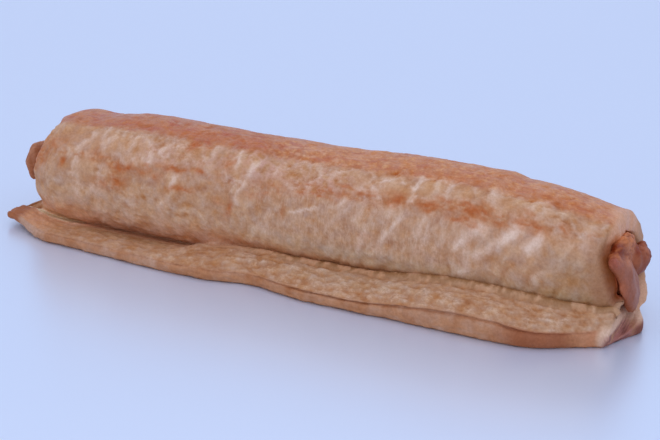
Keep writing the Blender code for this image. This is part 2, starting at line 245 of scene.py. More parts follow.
def roll_relief(u, angle):
    along = millimetres(u)
    around = angle * ROLL_HALF_WIDTH * 1000
    swelling = 0.00042 * rough(along / 17.0, around / 13.0, 4.0)
    wrinkle = 1 - np.abs(rough(along / 4.6 + around / 15.0, around / 11.0, 9.0)) * 3.0
    crest = smooth(math.radians(140), math.radians(95), angle) * smooth(0.0, math.radians(60), angle)
    ridge = 0.00035 * hump(angle, math.radians(128), 0.10) * (0.6 + rough(along / 21.0, 1.5, 2.0))
    return swelling + 0.00020 * np.maximum(wrinkle, -0.5) * (1 - 0.6 * crest) + ridge


def roll_point(u, angle):
    centre_y, centre_z = roll_centre(u)
    cos, sin = np.cos(angle), np.sin(angle)
    reach = (np.abs(cos) ** ROLL_SQUARENESS + np.abs(sin) ** ROLL_SQUARENESS) ** (-1 / ROLL_SQUARENESS)
    relief = roll_relief(u, angle) * smooth(FOOT_ANGLE, 0.0, angle)
    y = centre_y + (roll_half_width(u) * reach + relief) * cos
    rise = np.where(sin > 0, roll_top(u) - centre_z, centre_z + 0.0002)
    return y, centre_z + (rise * reach + relief) * sin


def root_point(u):
    seam_y, seam_z = roll_point(u, seam_angle(u))
    return seam_y - GROOVE_WIDTH, np.maximum(seam_z - 0.4 * GROOVE_WIDTH, 0.5 * flange_thickness(u))


def floor_point(u):
    seam_y, seam_z = roll_point(u, seam_angle(u))
    depth = groove_depth(u)
    y = seam_y + 0.92 * depth - GROOVE_WIDTH / 2
    return y, np.maximum(seam_z - 0.42 * depth - GROOVE_WIDTH / 3, 0.0011)


def top_point(u, share):
    root_y, root_z = root_point(u)
    y = root_y + (flange_front(u) + 0.0009 - root_y) * share
    puff = 0.0008 + 0.0005 * rough(millimetres(u) / 8.0, share * 2.0, 11.0)
    web = 0.0011 * hump(u, WEB_PLACE - 0.07 * share**1.5, 0.013) * (1 - 0.6 * share)
    z = root_z + (flange_thickness(u) - root_z) * share + puff * np.sin(math.pi * share) + web
    return y, z


def rim_point(u):
    front, split, thick = flange_front(u), split_depth(u), flange_thickness(u)
    y = front + np.array([0.00025, 0.0001, 0.0, -0.0001, 0.0004])
    y[:, 1] += split[:, 1]
    return y, thick * np.array([0.93, 0.85, 0.76, 0.42, 0.10])


def base_point(u, share):
    front = flange_front(u) + 0.0013
    foot_y, _ = roll_point(u, FOOT_ANGLE + 0 * u)
    return front + (foot_y - 0.0022 - front) * share, np.zeros_like(front)


def outline(u):
    zones = [
        roll_point(u[:, ARC], arc_angle(u[:, ARC], ARC_SHARE)),
        floor_point(u[:, FLOOR]),
        root_point(u[:, ROOT]),
        top_point(u[:, TOP], TOP_SHARE),
        rim_point(u[:, RIM]),
        base_point(u[:, BASE], BASE_SHARE),
    ]
    y = np.hstack([zone[0] for zone in zones])
    z = np.hstack([zone[1] for zone in zones])
    return y, z + tip_lift(u, y)


def loop_angle(u):
    start = seam_angle(u[:, ARC.stop :])
    rest = np.linspace(0, 1, AROUND - ARC.stop + 2)[None, 1:-1]
    under = start + (FOOT_ANGLE + 2 * math.pi - start) * rest
    return np.hstack([arc_angle(u[:, ARC], ARC_SHARE), under])


def cavity_radius(u):
    return CAVITY_RADIUS - 0.0022 * smooth(0.10, 0.0, u) - 0.0025 * smooth(0.86, 0.99, u)


def cavity_point(u, angle, grow=0.0):
    centre_y, centre_z = roll_centre(u)
    radius = cavity_radius(u) + grow
    return centre_y + radius * np.cos(angle), centre_z + radius * np.sin(angle)


def right_rim(angle):
    wobble = 0.0004 * rough(np.cos(angle) * 2.5, np.sin(angle) * 2.5, 8.0)
    foot = 0.0030 * bump(angle, -58, 30) + 0.0009 * bump(angle, 215, 30)
    set_back = 0.0021 * bump(angle, 65, 70) + 0.0007 * bump(angle, 140, 25)
    return ROLL_LENGTH / 2 - 0.0016 + foot - set_back + wobble


def left_rim(angle):
    wobble = 0.0003 * rough(np.cos(angle) * 2.5, np.sin(angle) * 2.5, 5.0)
    lip = LEFT_LIP * bump(angle, 160, 26) - 0.0034 * bump(angle, 114, 32)
    return -ROLL_LENGTH / 2 + 0.0010 - lip + wobble


def end_places():
    angle = loop_angle(np.full((1, AROUND), 0.5))
    left = left_rim(angle)
    right = right_rim(angle) - RIGHT_CURL * bump(angle, 170, 28) - RIGHT_NOTCH * bump(angle, -52, 16)
    half = ROLL_LENGTH / 2
    left[:, FLOOR] = -half - 0.0004
    left[:, ROOT] = -half - 0.0018
    left[:, TOP] = -half - 0.0026 - (LEFT_TIP - 0.0028) * TOP_SHARE
    left[:, RIM] = -half - LEFT_TIP
    left[:, BASE] = -half - LEFT_TIP + 0.0030 * BASE_SHARE
    right[:, FLOOR] = half - 0.0006
    right[:, ROOT] = half + 0.0006
    right[:, TOP] = half + 0.0004 - 0.0003 * TOP_SHARE
    right[:, RIM] = half + 0.0001
    flap = smooth(-0.1, 0.70, BASE_SHARE) - smooth(0.62, 0.92, BASE_SHARE)
    right[:, BASE] = half - 0.0004 + RIGHT_FLAP * flap
    return left, right


def inset(y, z, distance):
    step_y = np.roll(y, -1, axis=1) - np.roll(y, 1, axis=1)
    step_z = np.roll(z, -1, axis=1) - np.roll(z, 1, axis=1)
    length = np.hypot(step_y, step_z)
    return y - distance * step_z / length, z + distance * step_y / length


def ring(x, y, z):
    return np.stack(np.broadcast_arrays(x, y, z), axis=-1)


def share_of(x):
    return x / ROLL_LENGTH + 0.5


def end_rings(x_end, rim, outward):
    y, z = outline(share_of(x_end))
    angle = loop_angle(share_of(x_end))
    x_rim = rim(angle)
    near_y, near_z = inset(y, z, 0.0005)
    thin = np.full((1, AROUND), 0.0008)
    thin[:, BASE] = 0.0008 + 0.0018 * smooth(0.1, 0.6, BASE_SHARE)
    far_y, far_z = inset(y, z, thin)
    turn_in = np.full((1, AROUND), 0.5)
    turn_in[:, FLOOR] = 0.4
    turn_in[:, ROOT] = 0.3
    turn_in[:, TOP] = 0.12
    turn_in[:, RIM] = 0.08
    turn_in[:, BASE] = 0.08 + 0.42 * smooth(0.3, 0.7, BASE_SHARE)
    inner_y, inner_z = cavity_point(share_of(x_rim), angle, grow=0.0006)
    middle_y = far_y + (inner_y - far_y) * turn_in
    middle_z = far_z + (inner_z - far_z) * turn_in
    crag = 0.0003 * rough(middle_y * 600, middle_z * 600, 2.0)
    x_middle = x_end + (x_rim + outward * 0.0002 - x_end) * smooth(0.0, 0.5, turn_in)
    return [
        ring(x_end - outward * 0.0003, near_y, near_z),
        ring(x_end - outward * 0.0001, far_y, far_z),
        ring(x_middle + outward * crag, middle_y, middle_z),
        ring(x_rim - outward * 0.0005, inner_y, inner_z),
    ]


def cavity_rings(angle, grow):
    share = (0.5 - 0.5 * np.cos(np.linspace(0, math.pi, CAVITY_STATIONS)))[:, None]
    x = (left_rim(angle) + 0.0016) * (1 - share) + (right_rim(angle) - 0.0016) * share
    return ring(x, *cavity_point(share_of(x), angle, grow))


def solid_rings():
    """The rings of the CAD solid: outside, over the right rim, back along the cavity, over the left rim."""
    left, right = end_places()
    share = np.linspace(0, 1, STATIONS)[:, None]
    x = (left + EDGE_ROUND) * (1 - share) + (right - EDGE_ROUND) * share
    outside = ring(x, *outline(share_of(x)))
    cavity = cavity_rings(loop_angle(np.full((1, AROUND), 0.5)), 0.0)[::-1]
    over_right = end_rings(right, right_rim, 1)
    over_left = end_rings(left, left_rim, -1)[::-1]
    return np.concatenate([outside, *over_right, cavity, *over_left])


# -------- dividing it more finely

CURL_REACH_MM = 4.0
MOUTH_CORNER = 0.0013
ROUND_REACH_MM = 10.0
LEFT_SET_BACK = 0.0024


def steps_between(counts):
    """For every finer point: the control point before it, and the share of the way to the next one."""
    before = np.repeat(np.arange(len(counts)), counts)
    start = np.repeat(np.cumsum(counts) - counts, counts)
    return before, ((np.arange(len(before)) - start) / counts[before])[:, None]


def spline_matrix(spacing, counts):
    """Weights that carry a closed row of control points to a finer one through the same points.

    spacing is the mean distance from each control point to the next, counts the steps put between them.
    """
    here = np.eye(len(spacing))
    after, before = np.roll(here, 1, axis=1), np.roll(here, -1, axis=1)
    ahead, behind = spacing[:, None], np.roll(spacing, 1)[:, None]
    slope = (behind / ahead * (after - here) + ahead / behind * (here - before)) / (ahead + behind)
    i, t = steps_between(counts)
    places = (2 * t**3 - 3 * t**2 + 1) * here[i] + (3 * t**2 - 2 * t**3) * after[i]
    slopes = (t**3 - 2 * t**2 + t) * slope[i] + (t**3 - t**2) * np.roll(slope, -1, axis=0)[i]
    return places + slopes * ahead[i]


def straight_matrix(counts):
    """The same with straight steps, for values that must not swing past their control values."""
    here = np.eye(len(counts))
    i, t = steps_between(counts)
    return (1 - t) * here[i] + t * np.roll(here, 1, axis=1)[i]


def column_counts():
    """Steps between neighbouring points round the outline: fine where the pastry is seen."""
    counts = np.full(AROUND, 5)
    counts[: ARC_POINTS // 2] = 2
    counts[ARC_POINTS // 2 : ARC_POINTS - 1] = 7
    counts[ARC.stop - 1 : TOP.start] = 4
    counts[TOP.stop - 1 : RIM.stop - 2] = 2
    counts[RIM.stop - 2 : BASE.start] = 3
    counts[BASE.stop - 1] = 2
    return counts


def row_counts(rows):
    """Steps between neighbouring rings: the cavity, which the filling hides, keeps the solid's own."""
    counts = np.full(rows, 1)
    counts[: STATIONS - 1] = 5
    counts[STATIONS - 1 : STATIONS + END_RINGS] = 4
    counts[-END_RINGS - 1 :] = 4
    return counts


class Surface:
    """The fine grid over the pastry, with what its relief and colours are worked out from."""

    def __init__(self):
        control = solid_rings()
        rows, columns = row_counts(len(control)), column_counts()
        row_gap = np.linalg.norm(np.roll(control, -1, axis=0) - control, axis=-1).mean(axis=1)
        column_gap = np.linalg.norm(np.roll(control, -1, axis=1) - control, axis=-1).mean(axis=0)
        across, around = spline_matrix(row_gap, rows), spline_matrix(column_gap, columns)
        shift = CAD_LOW - control.reshape(-1, 3).min(axis=0)
        self.place = np.einsum("ri,ijk,cj->rck", across, control, around, optimize=True) + shift
        self.flat_rows, self.flat_columns = straight_matrix(rows), straight_matrix(columns)

        # Where each point is: u along the stick, degrees round the roll, share across the flange's top.
        self.u = share_of(self.place[..., 0] - shift[0])
        centre_y, centre_z = roll_centre(self.u)
        self.off_y = self.place[..., 1] - shift[1] - centre_y
        self.off_z = self.place[..., 2] - centre_z
        turn = np.degrees(np.arctan2(self.off_z, self.off_y))
        self.angle = np.where(turn < -90, turn + 360, turn)
        share = np.zeros(AROUND)
        share[TOP] = TOP_SHARE[0]
        share[RIM.start :] = 1.0
        self.share = self.spread(share)

        # How far each point belongs to a zone of the outline, or to a run of rings.
        self.arc, self.top, self.rim, self.base = (self.column_mask(zone) for zone in (ARC, TOP, RIM, BASE))
        self.groove = self.column_mask(slice(FLOOR.start, ROOT.stop))
        self.flange = self.top + self.rim + self.base
        self.right_end = self.row_mask(slice(STATIONS, STATIONS + END_RINGS))
        self.inside = self.row_mask(slice(STATIONS + END_RINGS, -END_RINGS))
        self.left_end = self.row_mask(slice(-END_RINGS, None))
        self.right_side = np.clip(self.right_end + self.flange * (self.u > 0.98), 0, 1)

    def spread(self, values):
        """A value for each point of the outline, carried to every fine point of the grid."""
        return np.repeat((self.flat_columns @ values)[None, :], len(self.flat_rows), 0)

    def column_mask(self, zone):
        values = np.zeros(AROUND)
        values[zone] = 1.0
        return self.spread(values)

    def row_mask(self, run):
        values = np.zeros(self.flat_rows.shape[1])
        values[run] = 1.0
        return np.repeat((self.flat_rows @ values)[:, None], len(self.flat_columns), 1)

    def relax_ends(self, times=4, strength=0.6):
        """Evens out the folds of the end faces, where many points lie close together."""
        hold = np.clip(self.right_side + self.left_end, 0, 1)[..., None] * strength
        for _ in range(times):
            around = sum(np.roll(self.place, step, axis=axis) for step in (-1, 1) for axis in (0, 1)) / 4
            self.place = self.place + (around - self.place) * hold

    def curl_right_end(self):
        """Rounds the wall in towards the mouth at the right end, most at the front and over the mouth."""
        radius = np.hypot(self.off_y, self.off_z) * 1000
        gap = (self.place[..., 0].max(axis=0) - self.place[..., 0]) * 1000
        close = np.clip(1 - gap / CURL_REACH_MM, 0, 1) ** 2
        front = band(self.angle, 148, 166, 200, 214) * np.clip((radius - 9) / 6, 0, 1)
        over = band(self.angle, 35, 65, 108, 130) * smooth(13.5, 10.0, radius)
        inward = (1.7 * front + 1.5 * over) * close / np.maximum(radius, 1)
        self.place[..., 1] -= self.off_y * inward
        self.place[..., 2] -= self.off_z * inward
        self.place[..., 0] -= MOUTH_CORNER * close * band(self.angle, 112, 130, 150, 164)

    def round_left_end(self):
        """Draws the roll's front edge back at the left end, so that the filling stands out of it."""
        gap = (self.place[..., 0] - self.place[..., 0].min(axis=0)) * 1000
        close = np.clip(1 - gap / ROUND_REACH_MM, 0, 1) ** 2
        front = band(self.angle, 92, 125, 210, 228) * (1 - self.flange)
        self.place[..., 0] += LEFT_SET_BACK * np.clip(front, 0, 1) * close

    def push(self, distance):
        """Moves the surface outwards along its normals by a distance in millimetres."""
        along = np.roll(self.place, -1, axis=0) - np.roll(self.place, 1, axis=0)
        around = np.roll(self.place, -1, axis=1) - np.roll(self.place, 1, axis=1)
        normal = np.cross(around, along)
        normal = normal / np.maximum(np.linalg.norm(normal, axis=-1, keepdims=True), 1e-12)
        self.place += normal * distance[..., None] * 0.001


def closed_grid(name, rings):
    """A mesh whose rings are joined each to the next, and the last to the first."""
    index = np.arange(rings.shape[0] * rings.shape[1]).reshape(rings.shape[:2])
    ahead, beside = np.roll(index, -1, axis=0), np.roll(index, -1, axis=1)
    corner = np.roll(ahead, -1, axis=1)
    faces = np.stack([index, beside, corner, ahead], axis=-1).reshape(-1, 4)
    mesh = bpy.data.meshes.new(name)
    mesh.from_pydata(rings.reshape(-1, 3).tolist(), [], faces.tolist())
    mesh.shade_smooth()
    return mesh


# -------- colours


def linear(colour):
    """A colour given in 0 to 255 as seen, in the linear values that shaders take."""
    share = np.clip(np.asarray(colour, float), 0, 255) / 255
    return np.where(share > 0.04045, ((share + 0.055) / 1.055) ** 2.4, share / 12.92)


LIGHT = np.array([0.62, 0.73, 0.98])  # what a pale surface sends back of each colour, under the lights below
SHINE = np.array([0.012, 0.016, 0.022])  # what any surface adds to that as gloss


def surface_colour(colour):
    """The colour of a surface that looks like this under the scene's lights."""
    return np.clip((linear(colour) - SHINE) / LIGHT, 0.004, 1)


def add_object(name, data):
    thing = bpy.data.objects.new(name, data)
    bpy.context.scene.collection.objects.link(thing)
    return thing


def even(field):
    """A noise field brought to a mean of 0 and a spread of 1."""
    return (field - field.mean()) / field.std()


class Look:
    """A colour for each point, built up by laying tints over one another."""

    def __init__(self, shape, ground=(0, 0, 0)):
        self.colour = np.ones((*shape, 3)) * ground

    def lay(self, tint, amount):
        """Covers what is there with a tint, wholly where amount is 1."""
        self.colour += (np.asarray(tint, float) - self.colour) * np.clip(amount, 0, 1)[..., None]

    def move(self, step, amount):
        """Adds a step of colour, amount times."""
        self.colour += amount[..., None] * np.asarray(step, float)


def store(mesh, name, kind, values):
    """Keeps values, one for each point, on the mesh for its material to read."""
    field = "value"
    if kind == "FLOAT_COLOR":
        field = "color"
        values = np.concatenate([values, np.ones_like(values[..., :1])], axis=-1)
    layer = mesh.attributes.new(name, kind, "POINT")
    layer.data.foreach_set(field, np.clip(values, 0, 1).astype(np.float32).ravel())


# -------- the crust's relief and colours

AROUND_MM = 0.277  # millimetres round the roll for one degree

# Colours as seen. The crust's own goes by the angle round the roll: the back, the crest, the front, the seam.
# The anchors from 186 to 215 degrees are lighter, as painted light against the shade low on the roll's front.
CRUST_ANGLES = (-60, -20, 30, 60, 100, 116, 124, 142, 156, 170, 186, 200, 215)
CRUST_RED = (160, 172, 178, 174, 172, 168, 176, 178, 176, 176, 176, 182, 186)
CRUST_GREEN = (124, 138, 140, 122, 116, 112, 138, 140, 139, 140, 142, 150, 152)
CRUST_BLUE = (100, 116, 114, 92, 86, 82, 114, 118, 118, 118, 120, 128, 132)
PALER = (6.0, 10.5, 14.0)  # one step from well baked to pale
COOLER = (-3.4, -1.3, 2.8)  # one step from golden to pinkish
BROWNED = (168, 98, 62)
REDDENED = (158, 88, 68)
CREST_EDGE = (160, 92, 70)
GOLDEN = (198, 154, 112)
PINKISH = (192, 152, 146)
DOME_TAN = (184, 142, 110)
# Pale of stretched dough, together with a painted highlight where the glaze catches the light on streaks and
# blister rims.
STRETCHED_AND_SHEEN = (210, 188, 180)
SEAM_BROWN_AND_SHADE = (150, 96, 66)
MOUTH_BROWN_AND_SHADE = (146, 98, 68)
FLANGE_TAN = (168, 132, 110)
RIM_BROWN = (162, 123, 104)
END_TAN = (160, 122, 98)

# The edge of the outer layer on the front, a low step: u, degrees, and how far it is browned.
LAP_PLACES = (0, 0.13, 0.2, 0.26, 0.34, 0.42, 0.5, 0.58, 0.66, 0.73, 0.8, 0.88, 1)
LAP_DEGREES = (150, 155, 159, 153, 149, 153, 151, 145, 142, 145, 143, 141, 138)
LAP_BROWNING = (0.2, 0.3, 0.35, 0.4, 0.2, 0.1, 0.35, 0.5, 0.45, 0.4, 0.45, 0.35, 0.1)

# Browned places on the roll: u, degrees, half-length and half-height in mm, tilt in degrees, strength.
BROWN_SPOTS = (
    (0.19, 109, 7, 1.6, 0, 0.4),
    (0.3, 108, 9, 2.2, 0, 0.6),
    (0.39, 107, 6, 2, 0, 0.6),
    (0.309, 126, 1.8, 1.5, 0, 0.8),
    (0.335, 124, 1.6, 1, 0, 0.55),
    (0.086, 161, 0.8, 1.4, 10, 0.7),
    (0.016, 156, 5, 3.6, 0, 0.7),
    (0.055, 146, 4, 1.6, 0, 0.35),
    (0.15, 152, 3.4, 1.2, 4, 0.45),
    (0.197, 158, 4.6, 1.2, -8, 0.8),
    (0.19, 171, 2.8, 2.2, 10, 0.6),
    (0.234, 159, 3, 0.9, -6, 0.55),
    (0.16, 176, 3, 1.3, 0, 0.35),
    (0.287, 151, 4.4, 0.8, -3, 0.75),
    (0.333, 150, 2.2, 0.7, 0, 0.65),
    (0.26, 163, 2, 1.2, 0, 0.35),
    (0.304, 168, 3.4, 0.9, -5, 0.6),
    (0.39, 178, 1.2, 2.4, 15, 0.65),
    (0.38, 137, 1.2, 2.6, 0, 0.4),
    (0.375, 170, 1.2, 1, 0, 0.3),
    (0.44, 160, 4.5, 0.9, -12, 0.35),
    (0.485, 172, 0.6, 2, 10, 0.35),
    (0.53, 112, 0.9, 1.1, 0, 0.5),
    (0.47, 150, 7, 0.9, 3, 0.3),
    (0.575, 146, 7, 0.6, 5, 0.45),
    (0.6, 140, 6, 0.5, 2, 0.55),
    (0.662, 143, 4, 1.5, -8, 0.6),
    (0.535, 149, 5, 0.5, 4, 0.6),
    (0.52, 143, 5, 0.5, 2, 0.4),
    (0.625, 178, 1.5, 0.8, 0, 0.25),
    (0.72, 143, 4.4, 1.6, 3, 0.7),
    (0.742, 136, 3, 0.9, 6, 0.5),
    (0.782, 141, 5.6, 2.2, 0, 0.72),
    (0.772, 151, 4.6, 1.2, 5, 0.65),
    (0.825, 148, 3, 1, 0, 0.5),
    (0.868, 143, 5, 1.6, 5, 0.6),
    (0.862, 134, 3, 0.9, 5, 0.4),
    (0.912, 138, 1.8, 1.3, 0, 0.45),
    (0.74, 112, 9, 1.6, 0, 0.35),
    (0.89, 108, 9, 1.8, 0, 0.35),
)

# Pale streaks, stretched sheet together with a painted highlight of its glaze: from u, degrees to u, degrees,
# half-width in mm, strength.
PALE_STREAKS = (
    (0.425, 131, 0.405, 166, 0.9, 0.7),
    (0.393, 121, 0.395, 137, 0.7, 0.7),
    (0.349, 122, 0.347, 131, 0.7, 0.7),
    (0.301, 157, 0.288, 167, 0.9, 0.9),
    (0.247, 145, 0.242, 150, 1, 0.9),
    (0.125, 132, 0.108, 150, 0.8, 0.6),
    (0.143, 120, 0.146, 142, 0.8, 0.5),
    (0.21, 128, 0.203, 141, 0.9, 0.5),
    (0.27, 131, 0.262, 141, 0.8, 0.5),
    (0.28, 178, 0.262, 216, 1.5, 0.4),
    (0.155, 185, 0.15, 225, 2.2, 0.3),
    (0.22, 182, 0.2, 222, 1.8, 0.25),
    (0.544, 161, 0.498, 171, 0.45, 0.85),
    (0.564, 120, 0.556, 134, 0.7, 0.55),
    (0.608, 134, 0.597, 142, 0.7, 0.45),
    (0.584, 150, 0.566, 159, 0.7, 0.65),
    (0.59, 158, 0.56, 176, 0.8, 0.4),
    (0.623, 151, 0.604, 166, 0.8, 0.65),
    (0.664, 150, 0.656, 158, 1.1, 0.5),
    (0.686, 158, 0.667, 167, 0.8, 0.65),
    (0.463, 172, 0.455, 192, 1.2, 0.4),
    (0.624, 174, 0.612, 192, 1, 0.6),
    (0.66, 170, 0.64, 188, 1.2, 0.55),
    (0.65, 130, 0.64, 138, 1.6, 0.3),
    (0.69, 118, 0.686, 131, 0.9, 0.65),
    (0.718, 120, 0.722, 131, 0.9, 0.45),
    (0.735, 120, 0.745, 132, 1.4, 0.4),
    (0.805, 118, 0.812, 134, 1.2, 0.45),
    (0.87, 120, 0.862, 132, 1.2, 0.4),
    (0.716, 154, 0.698, 168, 0.9, 0.6),
    (0.72, 160, 0.706, 182, 0.8, 0.4),
    (0.742, 160, 0.733, 190, 1.3, 0.35),
    (0.802, 153, 0.766, 170, 1.6, 0.95),
    (0.784, 166, 0.779, 202, 1.5, 0.5),
    (0.852, 149, 0.838, 158, 1.6, 1),
    (0.836, 159, 0.8, 178, 1.2, 0.75),
    (0.886, 150, 0.872, 164, 1.7, 0.9),
    (0.925, 152, 0.918, 170, 1.5, 0.4),
    (0.918, 170, 0.886, 184, 0.9, 0.35),
    (0.95, 130, 0.948, 165, 1.6, 0.4),
    (0.112, 162, 0.118, 196, 1.2, 0.35),
    (0.145, 222, 0.148, 226, 0.9, 0.9),
)

# Blisters under the outer layer: u, degrees, half-length and half-height in mm, height in mm.
BLISTERS = (
    (0.485, 105, 3.8, 1.8, 0.35),
    (0.565, 109, 2.8, 1.4, 0.3),
    (0.66, 136, 5, 2.6, 0.36),
    (0.712, 127, 3.6, 2.4, 0.3),
    (0.758, 126, 2.6, 2, 0.22),
    (0.59, 128, 4, 2.4, 0.22),
    (0.661, 154, 2.6, 2.2, 0.22),
    (0.4, 140, 3, 3.2, 0.25),
    (0.3, 137, 5, 2.5, 0.2),
    (0.2, 140, 6, 3, 0.2),
    (0.13, 168, 4, 4, 0.2),
    (0.5, 135, 5, 3, 0.2),
    (0.84, 128, 6, 3, 0.2),
)


class Patterns:
    """Fields over the surface that its relief and its colours share, each about -1 to 1 or 0 to 1."""

    def __init__(self, surface):
        u, angle = surface.u, surface.angle
        x, y, z = (surface.place[..., k] * 1000 for k in range(3))
        s, t = millimetres(u), angle * AROUND_MM
        self.s = s + 0.7 * layered(s / 5, t / 5, 1.0, 1)
        self.t = t + 0.7 * layered(s / 5, t / 5, 5.0, 2)

        # The sheet's wrinkles run steeply down the front and lean to the right at the top.
        along, across = 0.89 * self.t - 0.45 * self.s, 0.89 * self.s + 0.45 * self.t
        self.patch = even(layered(self.s / 5.0, self.t / 4.0, 8.0, 9, 3))
        self.mottle = even(layered(x / 2.0, y / 2.0, z / 2.0, 6, 3))
        self.fine = even(layered(x / 0.9, y / 0.9, z / 0.9, 7, 2))
        self.net = even(-np.abs(layered(self.s / 3.4, self.t / 2.6, 2.0, 3, 2)))
        self.strands = even(layered(across / 1.7, along / 6.5, 3.0, 4, 2))
        self.hairs = even(grain(across / 0.75, along / 4.0, 4.0, 5))
        self.slanted = smooth(145, 158, angle) * smooth(0.33, 0.45, u)
        self.lively = smooth(-1.2, 1.2, even(layered(s / 13, t / 8, 6.0, 12, 2)))
        threads = layered(self.s / 3.6, self.t / 3.0, 11.0, 13, 2)
        self.threads = hump(threads, 0, 0.10) * smooth(0.3, 0.8, self.lively)
        self.broken = even(layered(self.s / 2.6, self.t / 0.8, 12.0, 14, 2))
        self.crumb = even(layered(x / 2.2, y / 1.6, z / 1.6, 21, 3))
        self.leaf = even(layered(x / 5.0, y / 1.6, z / 0.7, 22, 2))
        self.layers = self.leaf * smooth(0.15, 0.50, u)

        crest_edge = 118 + 3 * layered(s / 12, 0.0, 3.0, 8, 2) + 2.0 * self.patch + 1.2 * self.mottle
        self.crest = smooth(crest_edge + 6, crest_edge - 6, angle) * smooth(10, 60, angle)
        lap_degrees = np.interp(u, LAP_PLACES, LAP_DEGREES) + 1.6 * self.patch
        self.lap = (angle - lap_degrees) * AROUND_MM

        blisters = [(height, self.spot(*where)) for *where, height in BLISTERS]
        self.domes = np.max([height * smooth(0.25, 0.75, dome) for height, dome in blisters], axis=0)
        self.outlines = np.max([2.5 * height * hump(dome, 0.28, 0.16) for height, dome in blisters], axis=0)
        self.strokes = np.max([strength * self.streak(*where) for *where, strength in PALE_STREAKS], axis=0)
        spots = np.max([strength * self.spot(*where) for *where, strength in BROWN_SPOTS], axis=0)
        browned_lap = np.interp(u, LAP_PLACES, LAP_BROWNING) * hump(self.lap, -0.3, 0.8)
        marks = np.maximum(spots, browned_lap * smooth(-0.9, 0.5, self.broken))
        self.marks = np.clip(marks * (1 + 0.30 * self.broken), 0, 1)

    def spot(self, place, degrees, half_length, half_height, tilt=0.0):
        """A soft oval on the roll, given as in BROWN_SPOTS."""
        cos, sin = math.cos(math.radians(tilt)), math.sin(math.radians(tilt))
        ds, dt = self.s - millimetres(place), self.t - degrees * AROUND_MM
        along, across = ds * cos + dt * sin, dt * cos - ds * sin
        return np.exp(-((along / half_length) ** 2 + (across / half_height) ** 2))

    def streak(self, start, start_degrees, end, end_degrees, half_width):
        """A soft straight stroke on the roll, given as in PALE_STREAKS."""
        s0, t0 = millimetres(start), start_degrees * AROUND_MM
        ds, dt = millimetres(end) - s0, (end_degrees - start_degrees) * AROUND_MM
        along = np.clip(((self.s - s0) * ds + (self.t - t0) * dt) / (ds * ds + dt * dt), 0, 1)
        return hump(np.hypot(self.s - s0 - along * ds, self.t - t0 - along * dt), 0, half_width)


def relief_mm(surface, p):
    """The relief of the whole outside, in millimetres: the roll, the flange and the filled groove."""
    u = surface.u
    wrinkles = 0.05 * p.net * (1 - 0.6 * p.slanted) + (0.04 + 0.05 * p.slanted) * p.strands
    wrinkles = wrinkles * (0.3 + 0.9 * p.lively) + 0.07 * p.threads
    lumps = 0.09 * p.patch + 0.035 * p.mottle + 0.012 * p.hairs
    lap_step = 0.22 * smooth(0.5, -0.5, p.lap) * smooth(0.10, 0.18, u) * smooth(-9, -2, p.lap)
    roll = (wrinkles + lumps) * (1 - 0.60 * p.crest) + p.domes + lap_step + 0.24 * p.strokes - 0.10 * p.marks
    top = 0.10 * p.crumb + 0.08 * p.layers
    rim = 0.05 * p.leaf + 0.04 * p.crumb
    filled = 0.8 * smooth(0.38, 0.46, u) + 0.5 * smooth(0.62, 0.72, u)
    zones = ((surface.arc, roll), (surface.top, top), (surface.rim, rim), (surface.groove, filled))
    return sum(mask * height for mask, height in zones) + surface.base * 0.02 * p.crumb


